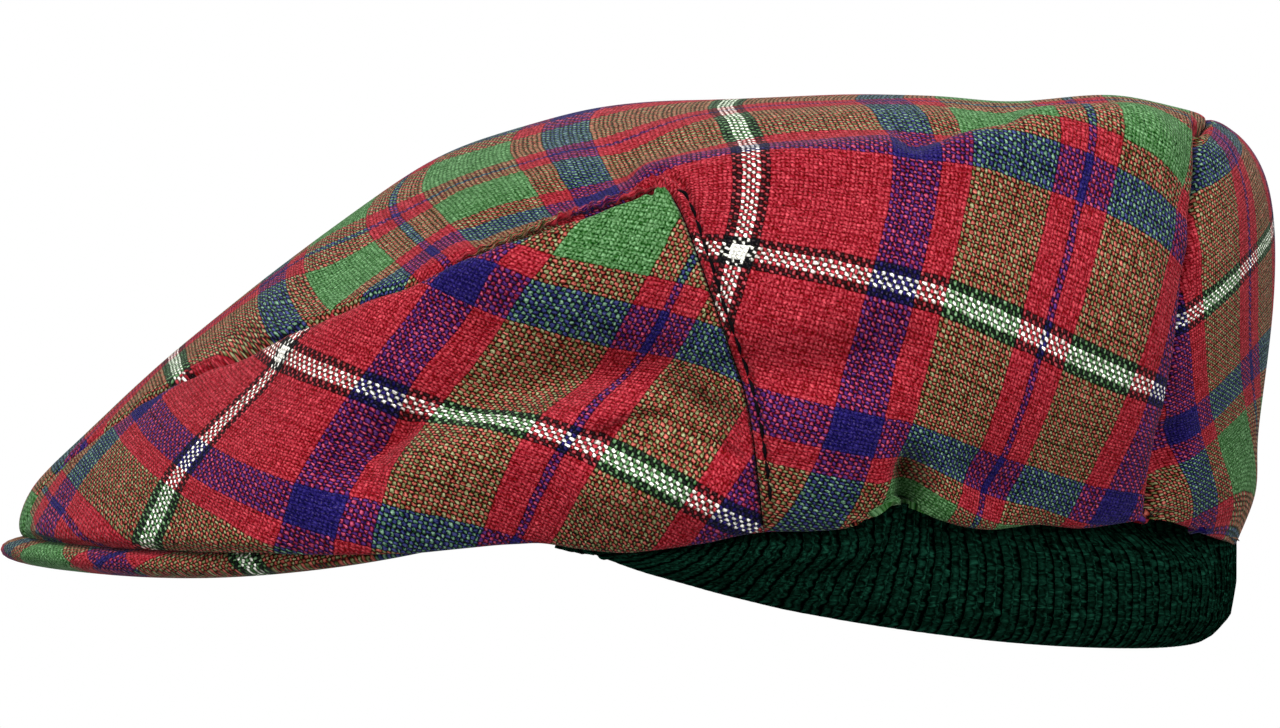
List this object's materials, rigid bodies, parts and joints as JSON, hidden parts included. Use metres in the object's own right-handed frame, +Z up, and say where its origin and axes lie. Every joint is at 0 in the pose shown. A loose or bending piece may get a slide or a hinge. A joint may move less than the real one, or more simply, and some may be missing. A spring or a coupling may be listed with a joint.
{
  "type": "flat cap with knitted ear band",
  "caption": "Tartan wool flat cap in its worn form, with a cloth-covered peak under the crown's front and a dark green ribbed knit band for ears and neck below the rim.",
  "frame": {"origin": "middle of the head opening, level with the crown's rim, where the cap sits on a head", "axes": "+Z up, -Y forward along the peak, +X to the wearer's left"},
  "size_m": [0.1942, 0.2867, 0.1222],
  "materials": {
    "tartan_wool": "plain-woven wool tartan in red, green, navy and white",
    "rib_knit": "dark bottle-green ribbed wool knit"
  },
  "bodies": {
    "root": {"top_panel": "tartan_wool", "front_side_left": "tartan_wool", "front_side_right": "tartan_wool", "back_panel": "tartan_wool", "peak": "tartan_wool", "knit_band": "rib_knit"}
  },
  "joints": []
}
